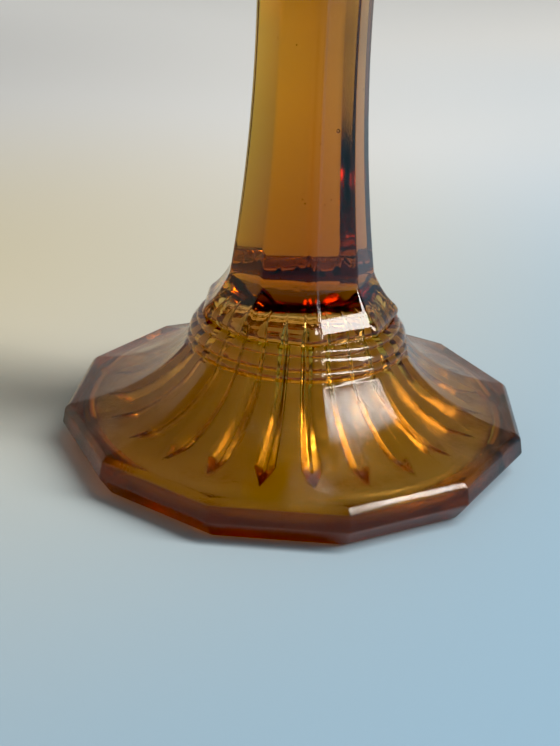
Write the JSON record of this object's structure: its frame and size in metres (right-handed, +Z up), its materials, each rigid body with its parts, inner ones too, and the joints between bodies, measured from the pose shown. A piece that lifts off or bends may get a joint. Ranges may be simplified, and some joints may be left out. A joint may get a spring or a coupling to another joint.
{
  "type": "glass candlestick",
  "caption": "Tall amber pressed-glass candlestick with a wide faceted foot, rayed underneath, ringed collar and faceted stem, holding a short plain candle that lifts out.",
  "frame": {"origin": "centre of the foot, on the surface that the candlestick stands on", "axes": "+Z up along the stem and the candle; -Y through the foot corner that carries the mould seam"},
  "size_m": [0.12, 0.12, 0.2632],
  "materials": {
    "amber_glass": "clear amber pressed glass with fire-polished faces and small bubbles",
    "ivory_wax": "smooth ivory paraffin wax",
    "cotton_wick": "braided cotton"
  },
  "bodies": {
    "candlestick": {"glass_body": "amber_glass"},
    "candle": {"candle_wax": "ivory_wax", "candle_wick": "cotton_wick"}
  },
  "joints": [
    {"name": "candle_lift", "type": "slide", "parent": "candlestick", "child": "candle", "axis": [0, 0, 1], "range_m": [0, 0.04]}
  ]
}
